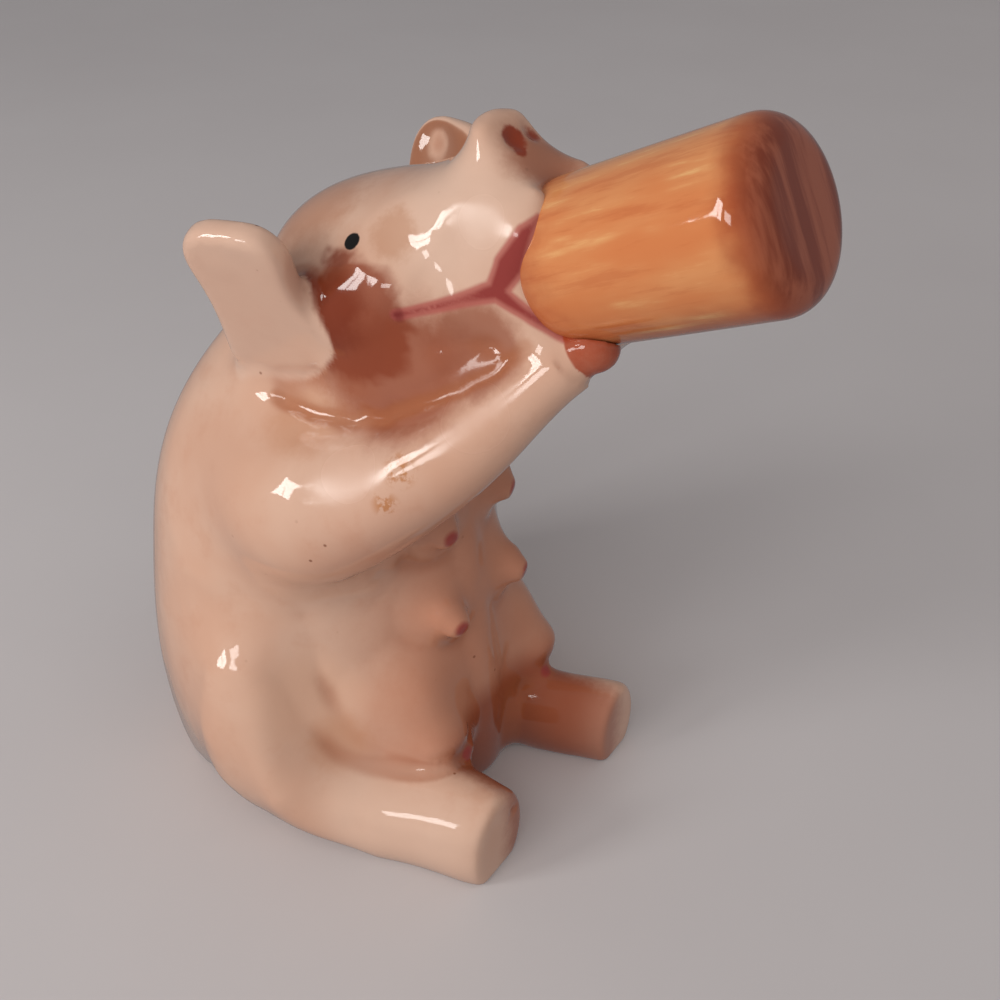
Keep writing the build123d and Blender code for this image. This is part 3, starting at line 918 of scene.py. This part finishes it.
def bottle_glaze():
    """Orange glaze with light and dark brush strokes along the bottle."""
    material, tree, shader, where = new_material("bottle_glaze")
    # Coordinates that run along the bottle from its mouth end
    upright = BOTTLE_TILT - math.pi / 2
    turned = where.stretched((1, 1, 1), (upright, 0, 0))
    start = Matrix.Rotation(upright, 4, "X") @ BOTTLE_MOUTH
    local = turned.node("ShaderNodeVectorMath", {"operation": "SUBTRACT"}, {0: turned, 1: start})
    height = local.parts()[2] * MM_PER_METRE
    under = Vector((0, -math.sin(BOTTLE_TILT), -math.cos(BOTTLE_TILT)))
    # How far towards the underside, which is darkened as painted shade
    low = where.along(under) - under.dot(BOTTLE_MOUTH) * MM_PER_METRE
    strokes = local.stretched((1, 1, 0.12)).noise(420, 5, 0.65)
    wide = local.stretched((1, 1, 0.3)).noise(120, 3)
    stripes = local.stretched((1, 0.1, 1)).noise(330, 4, 0.6)
    ragged = local.noise(220, 4) - 0.5
    middle = (height + ragged * 14).step(6, 12) * (height + ragged * 14).step(33, 27)
    ground = wide.step(0.35, 0.65).between(rgb(206, 124, 74), rgb(214, 146, 94))
    ground = ground.painted((
        # Light strokes along the middle, dark ones all over
        ((228, 182, 122), strokes.step(0.52, 0.68) * middle * wide.step(0.42, 0.58) * 0.85),
        ((172, 70, 34), strokes.step(0.5, 0.36) * 0.25),
        # Darker at the mouth end and round the rim, and darker on the underside as painted shade
        ((160, 62, 32), (height + ragged * 8).step(10, 2) * 0.6),
        ((152, 66, 36), (low + ragged * 4).step(5, 11) * 0.7),
        ((150, 62, 34), (height + ragged * 3).step(31, 35) * 0.75),
    ))
    # End face: brown brush stripes from top to bottom
    end_face = stripes.step(0.4, 0.6).between(rgb(122, 54, 34), rgb(154, 84, 60))
    ground = (height + ragged * 1.5).step(33.8, 37.2).between(ground, end_face)
    tree.links.new(ground.socket, shader.inputs["Base Color"])
    gloss(shader, where, tree)
    return material


def plain_floor():
    """A pale table top, kept out of the reflections in the glaze."""
    bpy.ops.object.select_all(action="DESELECT")
    bpy.ops.mesh.primitive_plane_add(size=FLOOR_SIZE, location=(0, 0, -FLOOR_DROP))
    floor = bpy.context.object
    floor.name = "floor"
    floor.visible_glossy = False
    bpy.ops.object.transform_apply(location=True, rotation=True, scale=True)
    material, tree, shader, where = new_material("pale_table")
    colour = where.noise(9, 4).between(rgb(196, 191, 192), rgb(204, 200, 201))
    tree.links.new(colour.socket, shader.inputs["Base Color"])
    shader.inputs["Roughness"].default_value = 0.55
    floor.data.materials.append(material)


def lamp(name, azimuth, height, distance, size, watts, colour, mirrored):
    """A soft window-shaped lamp that looks at the middle of the figure."""
    a, e = math.radians(azimuth), math.radians(height)
    way = Vector((math.sin(a) * math.cos(e), -math.cos(a) * math.cos(e), math.sin(e)))
    light = bpy.data.lights.new(name, "AREA")
    light.shape = "RECTANGLE"
    light.size, light.size_y = size
    light.energy = watts
    light.color = colour
    holder = bpy.data.objects.new(name, light)
    bpy.context.scene.collection.objects.link(holder)
    holder.location = FIGURE_MIDDLE + way * distance
    holder.visible_glossy = mirrored
    holder.rotation_euler = (-way).to_track_quat("-Z", "Y").to_euler()


def studio():
    """Sky, lamps and camera."""
    scene = bpy.context.scene
    scene.view_settings.view_transform = "Standard"
    world = bpy.data.worlds.new("studio")
    scene.world = world
    world.use_nodes = True
    sky = world.node_tree.nodes["Background"]
    sky.inputs["Color"].default_value = rgb(238, 238, 242)
    sky.inputs["Strength"].default_value = SKY_STRENGTH
    for settings in LAMPS:
        lamp(*settings)
    camera = bpy.data.cameras.new("camera")
    camera.lens = CAMERA_LENS
    camera.sensor_width = CAMERA_SENSOR
    camera.clip_start = CAMERA_NEAR
    holder = bpy.data.objects.new("camera", camera)
    scene.collection.objects.link(holder)
    holder.location = CAMERA_PLACE
    holder.rotation_euler = (math.radians(90 - CAMERA_DOWN), 0, math.radians(CAMERA_TURN))
    scene.camera = holder


lump = lump_of_clay()
work_joints(lump)
model_by_hand(lump)
paint_masks(lump)
finishes = {name: skin_glaze(name) for name in ("body_glaze", "lip_glaze", "trotter_glaze")}
finishes["bottle_glaze"] = bottle_glaze()
pieces = take_apart(lump)
pieces["bottle"] = bottle_form()
for node, piece in pieces.items():
    finish = CLAY.get(node, "bottle_glaze")
    piece.data.materials.append(finishes[finish])
    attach(piece, "root")
    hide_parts(node)
plain_floor()
studio()
